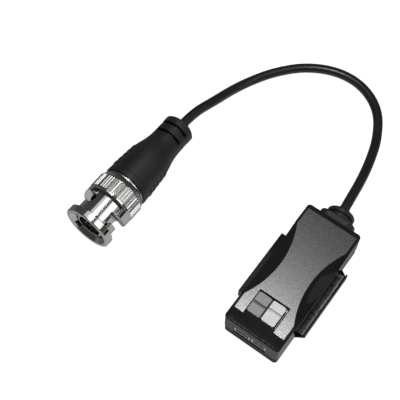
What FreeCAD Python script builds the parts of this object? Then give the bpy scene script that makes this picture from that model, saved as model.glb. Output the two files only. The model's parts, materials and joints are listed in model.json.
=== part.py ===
import FreeCAD
import Part
import math
import os

os.makedirs("parts", exist_ok=True)

V = FreeCAD.Vector
TOLERANCE = 1e-6

# The housing. The origin is the centre of its underside, +Y runs to the cable.
HOUSING_WIDTH = 16.75
HOUSING_LENGTH = 39.6
HOUSING_HEIGHT = 10.6
PARTING_HEIGHT = 3.8
WALL = 1.2
FLOOR = 1.0
ROOF_THICKNESS = 1.6
CORNER_RADIUS = 1.0
BOTTOM_EDGE_RADIUS = 0.7
COVER_INSET = 0.08
TOP_EDGE_RADIUS = 0.35
HALF_WIDTH = HOUSING_WIDTH / 2
HALF_LENGTH = HOUSING_LENGTH / 2
INNER_HALF_WIDTH = HALF_WIDTH - WALL
INNER_HALF_LENGTH = HALF_LENGTH - WALL
ROOF_UNDERSIDE = HOUSING_HEIGHT - ROOF_THICKNESS

# The two scooped sides and the plate between them.
PLATE_WAIST_HALF_WIDTH = 4.7
SCOOP_RADIUS = 26.8
SCOOP_CENTRE_X = PLATE_WAIST_HALF_WIDTH + SCOOP_RADIUS
SCOOP_CENTRE_Y = 0.6
SCOOP_DEPTH = 2.3
SCOOP_OUTER_LIP = 1.0
SCOOP_WALL = 0.9
PLATE_THICKNESS = 0.8
PLATE_PROUD = 0.12
PLATE_NEAR_MARGIN = 3.6
PLATE_FAR_MARGIN = 1.45
PLATE_NEAR_HALF_WIDTH = 7.6
PLATE_FAR_HALF_WIDTH = 7.65
PLATE_NEAR_Y = -HALF_LENGTH + PLATE_NEAR_MARGIN
PLATE_FAR_Y = HALF_LENGTH - PLATE_FAR_MARGIN
INLAY_CLEARANCE = 0.03

# The window, and the notch in the plate round it.
WINDOW_LEFT = -4.85
WINDOW_RIGHT = 4.25
WINDOW_NEAR_MARGIN = 4.5
WINDOW_LENGTH = 6.9
WINDOW_NEAR_Y = -HALF_LENGTH + WINDOW_NEAR_MARGIN
WINDOW_FAR_Y = WINDOW_NEAR_Y + WINDOW_LENGTH
NOTCH_LEFT_MARGIN = 0.05
NOTCH_RIGHT_MARGIN = 0.15
NOTCH_FAR_MARGIN = 0.1

# The two push buttons.
BUTTON_LENGTH = 6.4
BUTTON_WIDTH = 4.05
BUTTON_NEAR_GAP = 0.15
BUTTON_SIDE_GAP = 0.1
BUTTON_MIDDLE_GAP = 0.35
BUTTON_PROUD = 0.1
BUTTON_TRAVEL = 1.2
BUTTON_CORNER_RADIUS = 0.6
BUTTON_RIM_RADIUS = 0.2
BUTTON_FLANGE_THICKNESS = 1.0
BUTTON_FLANGE_GAP = 0.1
BUTTON_FLANGE_OUT = 0.3
BUTTON_STEP = 0.45
BUTTON_STEP_NEAR = 0.35
BUTTON_STEP_FAR = 0.45
BUTTON_STEP_FOOT = 0.25
BUTTON_STEP_SHARES = (0.49, 0.56)
BUTTON_LEFT_X = WINDOW_LEFT + BUTTON_SIDE_GAP
BUTTON_RIGHT_X = BUTTON_LEFT_X + BUTTON_WIDTH + BUTTON_MIDDLE_GAP
BUTTON_NEAR_Y = WINDOW_NEAR_Y + BUTTON_NEAR_GAP
BUTTON_TOP = HOUSING_HEIGHT + BUTTON_PROUD
BUTTON_FLANGE_TOP = ROOF_UNDERSIDE - BUTTON_FLANGE_GAP
BUTTON_FLANGE_BOTTOM = BUTTON_FLANGE_TOP - BUTTON_FLANGE_THICKNESS

# The wire entries in the front wall and the terminal behind them.
ENTRY_FRAME_HEIGHT = 3.5
ENTRY_FRAME_RAISE = 0.15
ENTRY_LEFT_X = -5.2
ENTRY_LEFT_WIDTH = 5.1
ENTRY_RIGHT_X = 0.15
ENTRY_RIGHT_WIDTH = 4.7
ENTRY_RIM = 0.55
ENTRY_RIM_BELOW = 0.6
ENTRY_RIM_ABOVE = 1.15
ENTRY_FACE_RECESS = 0.3
ENTRY_FIT = 0.05
ENTRY_DEPTH = 9.0
TERMINAL_SIDE = 0.3
TERMINAL_FACE_TOP_GAP = 1.0
TERMINAL_BACK_MARGIN = 0.8
TERMINAL_REST_GAP = 0.1
ENTRY_FRAME_BOTTOM = PARTING_HEIGHT + ENTRY_FRAME_RAISE
ENTRY_FRAME_TOP = ENTRY_FRAME_BOTTOM + ENTRY_FRAME_HEIGHT
ENTRIES = ((ENTRY_LEFT_X, ENTRY_LEFT_WIDTH), (ENTRY_RIGHT_X, ENTRY_RIGHT_WIDTH))
TERMINAL_FACE_Y = -HALF_LENGTH + ENTRY_FACE_RECESS
TERMINAL_STEP_Y = WINDOW_NEAR_Y - BUTTON_FLANGE_OUT - TERMINAL_SIDE
TERMINAL_BACK_Y = WINDOW_FAR_Y + TERMINAL_BACK_MARGIN
TERMINAL_LOW_TOP = BUTTON_FLANGE_BOTTOM - BUTTON_TRAVEL - TERMINAL_REST_GAP

# The clamp springs and the contact strips of the terminal.
SPRING_HALF_WIDTH = 1.2
SPRING_LEAF = 0.3
SPRING_RISE = 1.15
SPRING_FRONT_MARGIN = 4.8
SPRING_LENGTH = 4.0
STRIP_THICKNESS = 0.4
STRIP_FRONT_MARGIN = 2.8
STRIP_BACK_MARGIN = 8.9
LEG_THICKNESS = 0.7
LEG_INSET = 0.3
LEG_HALF_WIDTH = 0.4
LEG_BELOW_BOARD = 0.6
LEG_CLEARANCE = 0.1

# The interlock that gangs two housings side by side.
CHANNEL_REACH = 2.15
CHANNEL_LIP = 0.42
CHANNEL_FLOOR_BOTTOM = 0.2
CHANNEL_FLOOR_TOP = 1.0
CHANNEL_LIP_BELOW_PARTING = 0.4
CHANNEL_NEAR_Y = -9.2
CHANNEL_FAR_Y = 11.2
CHANNEL_SLANT = 1.35
HOOK_REACH = 2.05
HOOK_LIP = 0.6
HOOK_RISE = 1.2
HOOK_PLATE_RAISE = 0.15
HOOK_LIP_BOTTOM = 1.2
HOOK_NEAR_Y = -10.1
HOOK_FAR_Y = 10.4
HOOK_EDGE_RADIUS = 0.3
ROOT_DEPTH = 0.3
CHANNEL_LIP_TOP = PARTING_HEIGHT - CHANNEL_LIP_BELOW_PARTING
HOOK_TOP = PARTING_HEIGHT + HOOK_RISE
HOOK_PLATE_BOTTOM = PARTING_HEIGHT + HOOK_PLATE_RAISE

# The snap arms that close the housing.
SNAP_WIDTH = 3.0
SNAP_THICKNESS = 0.9
SNAP_TOOTH = 0.45
SNAP_TOOTH_HEIGHT = 0.9
SNAP_TOOTH_ROOT = 0.2
SNAP_RISE = 2.4
SNAP_PLAY = 0.05
SNAP_POCKET_PLAY = 0.2
SNAP_POSITIONS = (-5.5, 8.5)
SNAP_TOP = PARTING_HEIGHT + SNAP_RISE

# The circuit board and what stands on it.
BOARD_SIDE_MARGIN = 0.275
BOARD_NEAR_MARGIN = 1.0
BOARD_FAR_MARGIN = 4.0
BOARD_RAISE = 1.3
BOARD_THICKNESS = 1.0
BOARD_SNAP_GAP = 0.3
POST_WIDTH = 1.8
POST_LENGTH = 2.0
POST_INSET = 1.4
BOARD_HALF_WIDTH = INNER_HALF_WIDTH - BOARD_SIDE_MARGIN
BOARD_NEAR_Y = -INNER_HALF_LENGTH + BOARD_NEAR_MARGIN
BOARD_FAR_Y = INNER_HALF_LENGTH - BOARD_FAR_MARGIN
BOARD_BOTTOM = FLOOR + BOARD_RAISE
BOARD_TOP = BOARD_BOTTOM + BOARD_THICKNESS
PART_CEILING = HOUSING_HEIGHT - SCOOP_DEPTH - WALL
TOROID_OUTER = 7.6
TOROID_INNER = 3.6
TOROID_RAISE = 0.45
TOROID_HEADROOM = 0.75
TOROID_Y = 1.2
TOROID_BOTTOM = BOARD_TOP + TOROID_RAISE
TOROID_HEIGHT = PART_CEILING - TOROID_HEADROOM - TOROID_BOTTOM
WIRE_TURNS = 12
WIRE_THICKNESS = 0.4
WIRE_GAP = 0.02
CAPACITOR_X = 4.7
CAPACITOR_FAR_MARGIN = 3.4
CAPACITOR_THICKNESS = 1.1
CAPACITOR_RAISE = 0.3
CAPACITOR_HEADROOM = 0.1
CAPACITOR_LEG_PITCH = 1.9
CAPACITOR_LEG_WIDTH = 0.3
CAPACITOR_LEG_GAP = 0.05
CAPACITOR_RADIUS = (PART_CEILING - CAPACITOR_HEADROOM - BOARD_TOP - CAPACITOR_RAISE) / 2
CAPACITOR_Y = BOARD_FAR_Y - CAPACITOR_FAR_MARGIN
CHIP_WIDTH = 1.2
CHIP_LENGTH = 2.0
CHIP_HEIGHT = 0.55
CHIP_FAR_MARGIN = 5.4
CHIP_POSITIONS = (-2.2, 0.2, 2.6)
SUPPRESSOR_LEFT = -5.9
SUPPRESSOR_WIDTH = 2.6
SUPPRESSOR_LENGTH = 3.6
SUPPRESSOR_HEIGHT = 2.0
SUPPRESSOR_FAR_MARGIN = 0.6
SUPPRESSOR_CHAMFER = 0.25

# The moulded cable bush. Its stem leans a little after the cable.
CABLE_HEIGHT = 5.3
BUSH_NECK_HALF_WIDTH = 3.2
BUSH_NECK_HALF_HEIGHT = 2.3
BUSH_LUG_HALF_WIDTH = 4.4
BUSH_LUG_BELOW = 3.0
BUSH_LUG_ABOVE = 2.6
BUSH_LUG_DEPTH = 1.85
BUSH_FLANGE_HALF_WIDTH = 5.35
BUSH_FLANGE_HALF_HEIGHT = 3.5
BUSH_FLANGE_CORNER = 2.4
BUSH_FLANGE_EDGE = 0.35
BUSH_FLANGE_DEPTH = 2.5
BUSH_STEM_ROOT = 0.5
BUSH_WAIST_LENGTH = 0.9
BUSH_WAIST_RADIUS = 3.45
BUSH_COLLAR_RADIUS = 4.0
BUSH_COLLAR_LENGTH = 1.2
BUSH_COLLAR_EDGE = 0.2
BUSH_SHOULDER_RADIUS = 3.1
BUSH_SHOULDER_LENGTH = 0.7
BUSH_THROAT_RADIUS = 1.9
BUSH_THROAT_LENGTH = 0.5
BUSH_NOSE_RADIUS = 1.52
BUSH_NOSE_LENGTH = 0.9
BUSH_LEAN = 6.0
BUSH_FIT = 0.05
BUSH_WALL_GAP = 0.02
BUSH_LENGTH = (BUSH_FLANGE_DEPTH + BUSH_WAIST_LENGTH + BUSH_COLLAR_LENGTH + BUSH_SHOULDER_LENGTH
               + BUSH_THROAT_LENGTH + BUSH_NOSE_LENGTH)
BUSH_FLANGE_END = HALF_LENGTH + BUSH_FLANGE_DEPTH
BUSH_LUG_Y = INNER_HALF_LENGTH - BUSH_LUG_DEPTH

# The stripped cable end behind the bush.
INSULATION_RADIUS = 0.9
INSULATION_REACH = 3.1
CONDUCTOR_RADIUS = 0.25
CONDUCTOR_REACH = 4.3
BRAID_RADIUS = 0.55
BRAID_START = (1.5, -0.35)
BRAID_KNEE = (2.1, -1.45)
BRAID_END = (2.4, -3.15)

# The plug. The centre of its mating face is at PLUG_X, PLUG_Y, PLUG_Z. It rests on
# the rear edge of its knurl, turned a little outwards and dipping towards the cable.
PLUG_X = -53.0
PLUG_BEHIND_BUSH = 47.14
PLUG_YAW = -1.4
PLUG_DIP = 1.4
PLUG_REST_GAP = 0.005
KNURL_RADIUS = 7.25
KNURL_ROOT_RADIUS = 6.93
KNURL_TEETH = 54
KNURL_START = 10.0
KNURL_END = 14.1
GRIP_START = 9.2
COUPLING_END = 15.7
COUPLING_RIM_RADIUS = 7.15
COUPLING_REAR_RADIUS = 6.6
COUPLING_TUBE_RADIUS = 5.75
COUPLING_BORE_RADIUS = 4.9
COUPLING_MOUTH_RADIUS = 6.05
COUPLING_MOUTH_DEPTH = 1.2
FRONT_RING_END = 2.25
FRONT_RING_RADIUS = 7.15
SHOULDER_START = 13.4
HUB_RADIUS = 3.9
RUNNING_FIT = 0.05
SLOT_WIDTH = 2.4
SLOT_START_FRONT = 4.2
SLOT_ADVANCE_PER_DEGREE = 0.0167
SLOT_SWEEP = 90.0
ENTRY_SLOT_ANGLE = -37.8
ENTRY_SLOT_HALF_ANGLE = 12.0
ENTRY_GROOVE_WIDTH = 2.2
ENTRY_GROOVE_RADIUS = 5.65
DETENT_DIAMETER = 3.2
DETENT_POSITION = 6.7
EAR_START = -3.0
EAR_END = 87.0
EAR_FRONT = 5.2
EAR_ROOT = 0.3
EAR_GRIP_OVERLAP = 0.1
EAR_CUT_BEFORE = 5.0
EAR_CUT_AFTER = 9.0
EAR_CUT_FORWARD = 4.0
ENTRY_GROOVE_END = 4.0
ENTRY_COLUMN_MARGIN = 0.3
COUPLING_EDGE = 0.2
RING_EDGE = 0.15
HALF_CUT_ANGLE = 31.0
OVERCUT = 0.8

SLEEVE_OUTER = 4.15
SLEEVE_INNER = 3.5
SLEEVE_START = 1.0
SLEEVE_SLITS = 4
SLEEVE_SLIT_WIDTH = 0.5
SLEEVE_SLIT_END = 7.0
SLEEVE_EDGE = 0.15
FLANGE_START = 9.5
FLANGE_END = 10.5
FLANGE_RADIUS = 4.8
HUB_END = 16.4
TAIL_RADIUS = 3.2
TAIL_BORE_RADIUS = 1.6
TAIL_END = 22.0
PIN_RADIUS = 0.675
PIN_START = 1.2
PIN_TIP_RADIUS = 0.2
PIN_TIP_LENGTH = 0.8
PIN_FREE_END = 5.8
PIN_ROOT_RADIUS = 0.9
PIN_END = 17.0
PIN_COLLAR_RADIUS = 1.3
INSULATOR_START = 6.0
INSULATOR_END = 12.0
GASKET_RADIUS = 4.7
GASKET_THICKNESS = 0.6
WASHER_THICKNESS = 0.5
WASHER_OUTER = 4.8
SEAT_GAP = 0.02
WAVE_COUNT = 3
WAVE_THICKNESS = 0.2
WAVE_LAND = 0.25
WAVE_INNER_GAP = 0.1
WAVE_OUTER_GAP = 0.05
RING_START = 15.75
RING_END = 16.35
RING_RADIUS = 6.25
FERRULE_OUTER = 3.65
FERRULE_END = 24.5
FERRULE_START = 17.0
FERRULE_NECK_RADIUS = 2.4

# The boot of the plug: distance from the mating face, then radius.
BOOT_PROFILE = (
    (16.4, 6.82), (19.0, 6.66), (22.4, 6.38), (25.8, 6.12), (27.6, 5.87),
    (29.1, 5.5), (31.0, 5.03), (33.0, 4.75), (35.0, 4.65),
)
BOOT_NECK_END = 37.6
BOOT_NECK_RADIUS = 4.6
BOOT_FLANGE_START = 38.5
BOOT_FLANGE_END = 40.3
BOOT_FLANGE_RADIUS = 4.68
BOOT_DOME_RADIUS = 3.7
BOOT_DOME_RISE = 0.8
BOOT_END = 41.5
BOOT_EDGE = 0.1
BOOT_SKIN_ROOT = 0.6
BOOT_EXIT_RADIUS = 1.46
BOOT_ROLL = 16.2
BOOT_SLOTS = (35.0, 38.0)
BOOT_SLOT_WIDTH = 1.0
BOOT_SLOT_DEPTH = 1.15
BOOT_SLOT_LEFT_ANGLE = 84.0
BOOT_SLOT_RIGHT_ANGLE = 48.0
PANEL_START = 18.3
PANEL_END = 31.0
PANEL_HALF_ANGLE = 26.0
PANEL_PROUD = 0.18
RIB_COUNT = 5
RIB_START = 19.2
RIB_PITCH = 1.7
RIB_WIDTH = 0.7
RIB_PROUD = 0.2
RIB_HALF_ANGLE = 24.0

# The cable. Its corners lie between the bush and the plug: x, distance behind the nose
# of the bush, height.
CABLE_RADIUS = 1.4
CABLE_LEAD = 3.6
CABLE_TAIL = 5.2
CABLE_CORNERS = (
    (-1.5, 10.4, 4.7), (-3.0, 18.1, 3.0), (-5.4, 26.6, 1.5), (-10.2, 35.0, 1.4),
    (-18.2, 39.6, 1.4), (-27.2, 39.6, 1.4), (-36.0, 35.2, 1.4), (-42.5, 28.1, 1.4),
    (-46.6, 21.1, 1.4), (-48.8, 14.4, 2.6), (-49.8, 7.7, 4.8),
)


# Where the cable leaves the bush and where the plug lies.
LEAN = math.radians(BUSH_LEAN)
STEM_LENGTH = BUSH_LENGTH - BUSH_FLANGE_DEPTH
STEM_DIRECTION = V(-math.sin(LEAN), math.cos(LEAN), 0)
BUSH_NOSE = V(0, BUSH_FLANGE_END, CABLE_HEIGHT) + STEM_DIRECTION * STEM_LENGTH
DIP = math.radians(PLUG_DIP)
YAW = math.radians(PLUG_YAW)
PLUG_DIRECTION = V(-math.sin(YAW) * math.cos(DIP), math.cos(YAW) * math.cos(DIP), -math.sin(DIP))
PLUG_FACE = V(PLUG_X, BUSH_NOSE.y - PLUG_BEHIND_BUSH,
              KNURL_RADIUS * math.cos(DIP) + KNURL_END * math.sin(DIP) + PLUG_REST_GAP)


def block(x0, x1, y0, y1, z0, z1):
    return Part.makeBox(x1 - x0, y1 - y0, z1 - z0, V(x0, y0, z0))


def upright_edges(body):
    return [e for e in body.Edges if abs(e.tangentAt(e.FirstParameter).z) > 0.9]


def edges_at_height(body, height):
    return [e for e in body.Edges if all(abs(v.Z - height) < TOLERANCE for v in e.Vertexes)]


def rounded_block(half_width, half_length, z0, z1, radius):
    body = block(-half_width, half_width, -half_length, half_length, z0, z1)
    return body.makeFillet(radius, upright_edges(body))


def rod(radius, start, end):
    return Part.makeCylinder(radius, (end - start).Length, start, end - start)


def prism(points, z0, z1):
    wire = Part.makePolygon([V(x, y, z0) for x, y in points] + [V(points[0][0], points[0][1], z0)])
    return Part.Face(wire).extrude(V(0, 0, z1 - z0))


def turned(points):
    # A solid of revolution about Z from a closed outline of (radius, height).
    wire = Part.makePolygon([V(r, 0, s) for r, s in points] + [V(points[0][0], 0, points[0][1])])
    return Part.Face(wire).revolve(V(0, 0, 0), V(0, 0, 1), 360)


def tube(outer, inner, start, end):
    return turned(((inner, start), (outer, start), (outer, end), (inner, end)))


def sector(inner, outer, start, end, from_angle, to_angle):
    ring = Part.Face(Part.makePolygon([
        V(inner, 0, start), V(outer, 0, start), V(outer, 0, end), V(inner, 0, end), V(inner, 0, start)]))
    body = ring.revolve(V(0, 0, 0), V(0, 0, 1), to_angle - from_angle)
    body.rotate(V(0, 0, 0), V(0, 0, 1), from_angle)
    return body


def about_axis(shape, angle):
    copy = shape.copy()
    copy.rotate(V(0, 0, 0), V(0, 0, 1), angle)
    return copy


def along_plug(shape):
    # Carry a shape built about Z onto the axis of the plug.
    copy = shape.copy()
    copy.rotate(V(0, 0, 0), V(1, 0, 0), -90 - PLUG_DIP)
    copy.rotate(V(0, 0, 0), V(0, 0, 1), PLUG_YAW)
    copy.translate(PLUG_FACE)
    return copy


def along_bush(shape):
    copy = shape.copy()
    copy.rotate(V(0, 0, 0), V(1, 0, 0), -90)
    copy.translate(V(0, 0, CABLE_HEIGHT))
    return copy


def keep(name, shape):
    solids = shape.Solids
    shape = solids[0] if len(solids) == 1 else Part.makeCompound(solids)
    if not shape.isValid():
        print("not valid:", name)
    shape.exportStep("parts/" + name + ".step")
    print(name, "solids", len(solids), "volume", round(shape.Volume, 2))
    return shape


def scoop_profile_cutter(side):
    # The concave scoop falls from the plate's edge to the side wall about an upright axis.
    wall_radius = SCOOP_CENTRE_X - HALF_WIDTH - SCOOP_OUTER_LIP
    top = HOUSING_HEIGHT
    low = HOUSING_HEIGHT - SCOOP_DEPTH
    inner = V(wall_radius, 0, low)
    middle = V(wall_radius + 0.45 * (SCOOP_RADIUS - wall_radius), 0, low + 0.28 * SCOOP_DEPTH)
    outer = V(SCOOP_RADIUS, 0, top)
    curve = Part.BSplineCurve()
    curve.interpolate([inner, middle, outer])
    edges = [
        curve.toShape(),
        Part.makeLine(outer, V(SCOOP_RADIUS, 0, top + 1)),
        Part.makeLine(V(SCOOP_RADIUS, 0, top + 1), V(wall_radius, 0, top + 1)),
        Part.makeLine(V(wall_radius, 0, top + 1), inner),
    ]
    body = Part.Face(Part.Wire(edges)).revolve(V(0, 0, 0), V(0, 0, 1), 360)
    body.translate(V(side * SCOOP_CENTRE_X, SCOOP_CENTRE_Y, 0))
    return body


def plate_outline(grow):
    # Half-widths are reached where the two circular sides meet the straight ends.
    near = PLATE_NEAR_Y - grow
    far = PLATE_FAR_Y + grow
    radius = SCOOP_RADIUS - grow
    near_half = PLATE_NEAR_HALF_WIDTH + grow
    far_half = PLATE_FAR_HALF_WIDTH + grow
    join = SCOOP_CENTRE_X - far_half
    far_join = SCOOP_CENTRE_Y + math.sqrt(radius ** 2 - join ** 2)
    near_x = far_half
    near_join = SCOOP_CENTRE_Y - math.sqrt(radius ** 2 - (SCOOP_CENTRE_X - near_x) ** 2)
    waist = SCOOP_CENTRE_X - radius
    edges = []
    right = [V(near_half, near, 0), V(near_x, near_join, 0), V(waist, SCOOP_CENTRE_Y, 0),
             V(far_half, far_join, 0), V(far_half, far, 0)]
    left = [V(-p.x, p.y, 0) for p in right]
    edges.append(Part.makeLine(right[0], right[1]))
    edges.append(Part.Arc(right[1], right[2], right[3]).toShape())
    edges.append(Part.makeLine(right[3], right[4]))
    edges.append(Part.makeLine(right[4], left[4]))
    edges.append(Part.makeLine(left[4], left[3]))
    edges.append(Part.Arc(left[3], left[2], left[1]).toShape())
    edges.append(Part.makeLine(left[1], left[0]))
    edges.append(Part.makeLine(left[0], right[0]))
    return Part.Face(Part.Wire(edges))


def plate_solid(grow, z0, z1):
    body = plate_outline(grow)
    body.translate(V(0, 0, z0))
    body = body.extrude(V(0, 0, z1 - z0))
    notch = block(WINDOW_LEFT - NOTCH_LEFT_MARGIN + grow, WINDOW_RIGHT + NOTCH_RIGHT_MARGIN - grow,
                  PLATE_NEAR_Y - WALL, WINDOW_FAR_Y + NOTCH_FAR_MARGIN - grow,
                  z0 - WALL, z1 + WALL)
    return body.cut(notch)


def snap_arm(side, y):
    outer = INNER_HALF_WIDTH - SNAP_PLAY
    inner = outer - SNAP_THICKNESS
    arm = block(min(side * inner, side * outer), max(side * inner, side * outer),
                y - SNAP_WIDTH / 2, y + SNAP_WIDTH / 2, FLOOR / 2, SNAP_TOP)
    root = side * (outer - SNAP_TOOTH_ROOT)
    tip = side * (outer + SNAP_TOOTH)
    near = y - SNAP_WIDTH / 2
    low = SNAP_TOP - SNAP_TOOTH_HEIGHT
    tooth = Part.Face(Part.makePolygon([V(root, near, SNAP_TOP), V(tip, near, low),
                                        V(root, near, low), V(root, near, SNAP_TOP)]))
    return arm.fuse(tooth.extrude(V(0, SNAP_WIDTH, 0)))


def leg_slot(x):
    # The passage of a contact strip's leg through the terminal and the board.
    reach = LEG_HALF_WIDTH + LEG_CLEARANCE
    return block(x - reach, x + reach, leg_front - LEG_CLEARANCE, leg_back + LEG_CLEARANCE, 0,
                 hole_bottom + STRIP_THICKNESS)


def bush_opening(grow):
    half = BUSH_NECK_HALF_WIDTH + grow
    rise = BUSH_NECK_HALF_HEIGHT + grow
    return block(-half, half, INNER_HALF_LENGTH - WALL / 2, HALF_LENGTH + WALL / 2,
                 CABLE_HEIGHT - rise, CABLE_HEIGHT + rise)


# Upper shell.
upper = rounded_block(HALF_WIDTH, HALF_LENGTH, PARTING_HEIGHT, HOUSING_HEIGHT, CORNER_RADIUS)
upper = upper.makeFillet(TOP_EDGE_RADIUS, edges_at_height(upper, HOUSING_HEIGHT))
cavity = block(-INNER_HALF_WIDTH, INNER_HALF_WIDTH, -INNER_HALF_LENGTH, INNER_HALF_LENGTH,
               PARTING_HEIGHT, ROOF_UNDERSIDE)
for side in (-1, 1):
    cavity = cavity.cut(Part.makeCylinder(SCOOP_RADIUS + SCOOP_WALL, HOUSING_HEIGHT, V(
        side * SCOOP_CENTRE_X, SCOOP_CENTRE_Y, PART_CEILING)))
upper = upper.cut(cavity)
for side in (-1, 1):
    upper = upper.cut(scoop_profile_cutter(side))
upper = upper.cut(plate_solid(INLAY_CLEARANCE, HOUSING_HEIGHT - PLATE_THICKNESS,
                              HOUSING_HEIGHT + PLATE_THICKNESS))
upper = upper.cut(block(WINDOW_LEFT, WINDOW_RIGHT, WINDOW_NEAR_Y, WINDOW_FAR_Y,
                        ROOF_UNDERSIDE - ROOF_THICKNESS, HOUSING_HEIGHT + ROOF_THICKNESS))
hook_left = -HALF_WIDTH - HOOK_REACH
hook = block(hook_left, -HALF_WIDTH + ROOT_DEPTH, HOOK_NEAR_Y, HOOK_FAR_Y,
             HOOK_PLATE_BOTTOM, HOOK_TOP)
hook = hook.fuse(block(hook_left, hook_left + HOOK_LIP, HOOK_NEAR_Y, HOOK_FAR_Y,
                       HOOK_LIP_BOTTOM, HOOK_TOP))
hook = hook.removeSplitter()
hook_edge = [e for e in edges_at_height(hook, HOOK_TOP)
             if all(abs(v.X - hook_left) < TOLERANCE for v in e.Vertexes)]
hook = hook.makeFillet(HOOK_EDGE_RADIUS, hook_edge)
upper = upper.fuse(hook).removeSplitter()
for x, width in ENTRIES:
    upper = upper.cut(block(x, x + width, -HALF_LENGTH - WALL, -INNER_HALF_LENGTH + WALL / 2,
                            ENTRY_FRAME_BOTTOM, ENTRY_FRAME_TOP))
upper = upper.cut(bush_opening(BUSH_FIT))
for y in SNAP_POSITIONS:
    for side in (-1, 1):
        near = side * (INNER_HALF_WIDTH - SNAP_POCKET_PLAY)
        far = side * (INNER_HALF_WIDTH + SNAP_TOOTH + SNAP_PLAY)
        upper = upper.cut(block(min(near, far), max(near, far),
                                y - SNAP_WIDTH / 2 - SNAP_POCKET_PLAY,
                                y + SNAP_WIDTH / 2 + SNAP_POCKET_PLAY,
                                SNAP_TOP - SNAP_TOOTH_HEIGHT - SNAP_POCKET_PLAY,
                                SNAP_TOP + SNAP_POCKET_PLAY))
keep("upper_shell", upper)

# Lower cover with the side channel, the board posts and the snap arms.
lower = rounded_block(HALF_WIDTH - COVER_INSET, HALF_LENGTH - COVER_INSET, 0, PARTING_HEIGHT,
                      CORNER_RADIUS)
lower = lower.makeFillet(BOTTOM_EDGE_RADIUS, edges_at_height(lower, 0))
lower = lower.cut(block(-INNER_HALF_WIDTH, INNER_HALF_WIDTH, -INNER_HALF_LENGTH,
                        INNER_HALF_LENGTH, FLOOR, PARTING_HEIGHT + FLOOR))
channel_outline = (
    (HALF_WIDTH - ROOT_DEPTH, CHANNEL_NEAR_Y - CHANNEL_SLANT),
    (HALF_WIDTH, CHANNEL_NEAR_Y - CHANNEL_SLANT),
    (HALF_WIDTH + CHANNEL_REACH, CHANNEL_NEAR_Y),
    (HALF_WIDTH + CHANNEL_REACH, CHANNEL_FAR_Y),
    (HALF_WIDTH, CHANNEL_FAR_Y + CHANNEL_SLANT),
    (HALF_WIDTH - ROOT_DEPTH, CHANNEL_FAR_Y + CHANNEL_SLANT),
)
lower = lower.fuse(prism(channel_outline, CHANNEL_FLOOR_BOTTOM, CHANNEL_FLOOR_TOP))
lower = lower.fuse(block(HALF_WIDTH + CHANNEL_REACH - CHANNEL_LIP, HALF_WIDTH + CHANNEL_REACH,
                         CHANNEL_NEAR_Y, CHANNEL_FAR_Y, CHANNEL_FLOOR_BOTTOM, CHANNEL_LIP_TOP))
for y in SNAP_POSITIONS:
    for side in (-1, 1):
        lower = lower.fuse(snap_arm(side, y))
for y in (BOARD_NEAR_Y + POST_INSET, BOARD_FAR_Y - POST_INSET):
    for side in (-1, 1):
        x = side * (BOARD_HALF_WIDTH - POST_WIDTH / 2)
        lower = lower.fuse(block(x - POST_WIDTH / 2, x + POST_WIDTH / 2, y - POST_LENGTH / 2,
                                 y + POST_LENGTH / 2, FLOOR / 2, BOARD_BOTTOM))
lower = lower.cut(bush_opening(BUSH_FIT))
lower = lower.removeSplitter()
keep("lower_cover", lower)

# Inlaid top plate.
keep("top_plate", plate_solid(0, HOUSING_HEIGHT - PLATE_THICKNESS, HOUSING_HEIGHT + PLATE_PROUD))

# Terminal body: a tall face block in front, a low back part under the buttons, two frames
# that stand in the front wall, and a wire hole behind each.
terminal_left = ENTRY_LEFT_X - TERMINAL_SIDE
terminal_right = ENTRY_RIGHT_X + ENTRY_RIGHT_WIDTH + TERMINAL_SIDE
terminal = block(terminal_left, terminal_right, -INNER_HALF_LENGTH, TERMINAL_STEP_Y,
                 BOARD_TOP, ROOF_UNDERSIDE - TERMINAL_FACE_TOP_GAP)
terminal = terminal.fuse(block(terminal_left, terminal_right, TERMINAL_STEP_Y, TERMINAL_BACK_Y,
                               BOARD_TOP, TERMINAL_LOW_TOP))
for x, width in ENTRIES:
    terminal = terminal.fuse(block(x + ENTRY_FIT, x + width - ENTRY_FIT, TERMINAL_FACE_Y,
                                   -INNER_HALF_LENGTH + WALL / 2,
                                   ENTRY_FRAME_BOTTOM + ENTRY_FIT, ENTRY_FRAME_TOP - ENTRY_FIT))
terminal = terminal.removeSplitter()
hole_bottom = ENTRY_FRAME_BOTTOM + ENTRY_RIM_BELOW
hole_back = TERMINAL_FACE_Y + ENTRY_DEPTH
for x, width in ENTRIES:
    hole_left = x + ENTRY_RIM
    hole_right = x + width - ENTRY_RIM
    terminal = terminal.cut(block(hole_left, hole_right, -HALF_LENGTH, hole_back,
                                  hole_bottom, ENTRY_FRAME_TOP - ENTRY_RIM_ABOVE))
    terminal = terminal.cut(block(hole_left, hole_right, BUTTON_NEAR_Y + WALL / 2, hole_back,
                                  hole_bottom, ROOF_UNDERSIDE))
leg_back = -HALF_LENGTH + STRIP_BACK_MARGIN - LEG_INSET
leg_front = leg_back - LEG_THICKNESS
for x, width in ENTRIES:
    terminal = terminal.cut(leg_slot(x + width / 2))
keep("terminal_body", terminal)

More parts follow.
